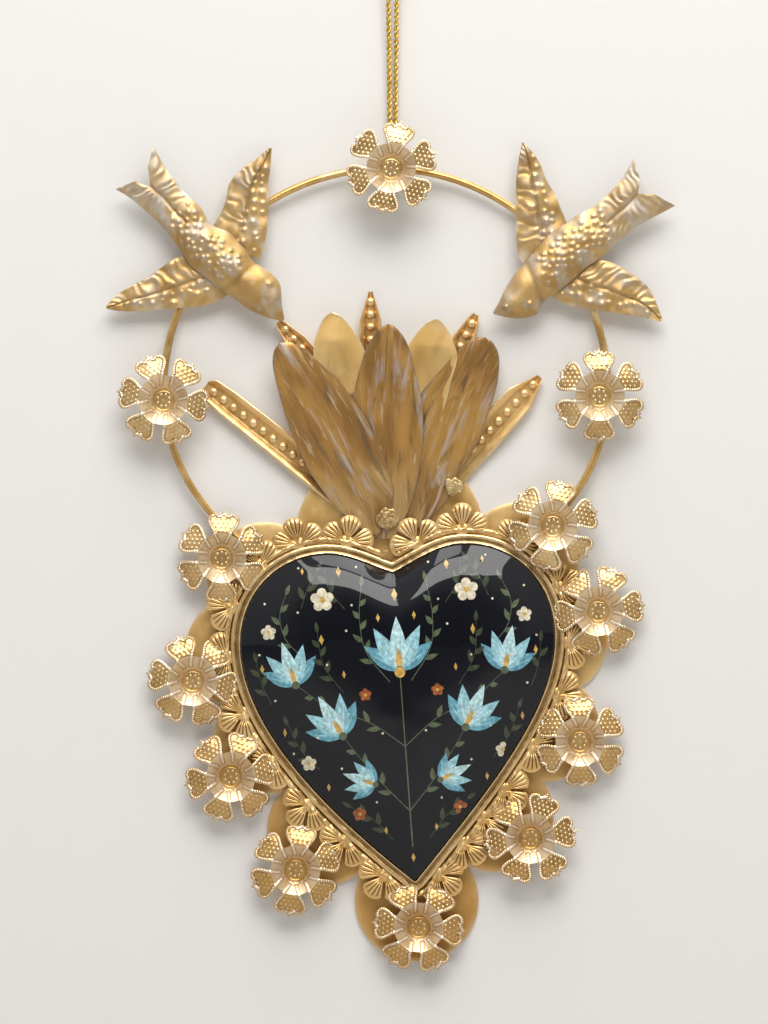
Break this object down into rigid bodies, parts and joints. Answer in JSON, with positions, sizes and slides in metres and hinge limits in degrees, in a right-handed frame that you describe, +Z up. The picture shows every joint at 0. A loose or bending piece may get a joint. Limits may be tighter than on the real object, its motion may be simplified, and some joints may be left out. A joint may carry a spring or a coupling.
{
  "type": "ex-voto",
  "caption": "Tin sacred heart wall ornament: domed glossy heart on a scalloped plate, flame of petals and rays, wire ring with birds and stamped flowers, hung from a gold cord loop.",
  "frame": {"origin": "inside top of the cord loop, where the nail goes", "axes": "+Z up along the ornament's length, +Y into the wall, +X to the right seen from the front"},
  "size_m": [0.158, 0.0136, 0.2872],
  "materials": {
    "gold_sheet": "satin aged gold on tin sheet",
    "gold_stamping": "bright gold on stamped tin strip",
    "pale_gold": "champagne gold with silvery edges, stamped",
    "aged_gold": "orange-brown gold wash with silver-grey streaks",
    "ray_gold": "satin gold with bright folded edges",
    "bird_gold": "antique gold, worn to silver-grey on the stamped bumps",
    "brass_wire": "satin wire",
    "solder": "gold-washed solder",
    "gold_cord": "twisted metallic thread",
    "printed_face": "near-black printed face",
    "clear_resin": "clear high gloss"
  },
  "bodies": {
    "hanger": {"hanging_cord": "gold_cord", "cord_hitch": "gold_cord"},
    "ornament": {"back_plate": "gold_sheet", "heart_bezel": "gold_sheet", "heart_shell": "gold_sheet", "heart_print": "printed_face", "heart_resin": "clear_resin", "gallery_left": "gold_stamping", "gallery_right": "gold_stamping", "ring": "brass_wire", "flame_petal_left": "aged_gold", "flame_petal_centre": "aged_gold", "flame_petal_right": "aged_gold", "flame_back_left": "aged_gold", "flame_back_right": "aged_gold", "ray_low_left": "ray_gold", "ray_high_left": "ray_gold", "ray_top": "ray_gold", "ray_high_right": "ray_gold", "ray_low_right": "ray_gold", "flower_ring_top": "pale_gold", "flower_ring_left": "pale_gold", "flower_ring_right": "pale_gold", "flower_plate_1": "pale_gold", "flower_plate_2": "pale_gold", "flower_plate_3": "pale_gold", "flower_plate_4": "pale_gold", "flower_plate_5": "pale_gold", "flower_plate_6": "pale_gold", "flower_plate_7": "pale_gold", "flower_plate_8": "pale_gold", "flower_plate_9": "pale_gold", "left_bird_body": "bird_gold", "left_bird_upper_wing": "bird_gold", "left_bird_lower_wing": "bird_gold", "right_bird_body": "bird_gold", "right_bird_upper_wing": "bird_gold", "right_bird_lower_wing": "bird_gold", "solder_flame": "solder", "solder_ray": "solder", "solder_cleft": "solder", "solder_pad_left": "solder", "solder_pad_right": "solder"}
  },
  "joints": [
    {"name": "ring_tilt", "type": "hinge", "parent": "hanger", "child": "ornament", "pos_m": [0, 0, -0.063], "axis": [1, 0, 0], "range_deg": [-25, 0]}
  ]
}
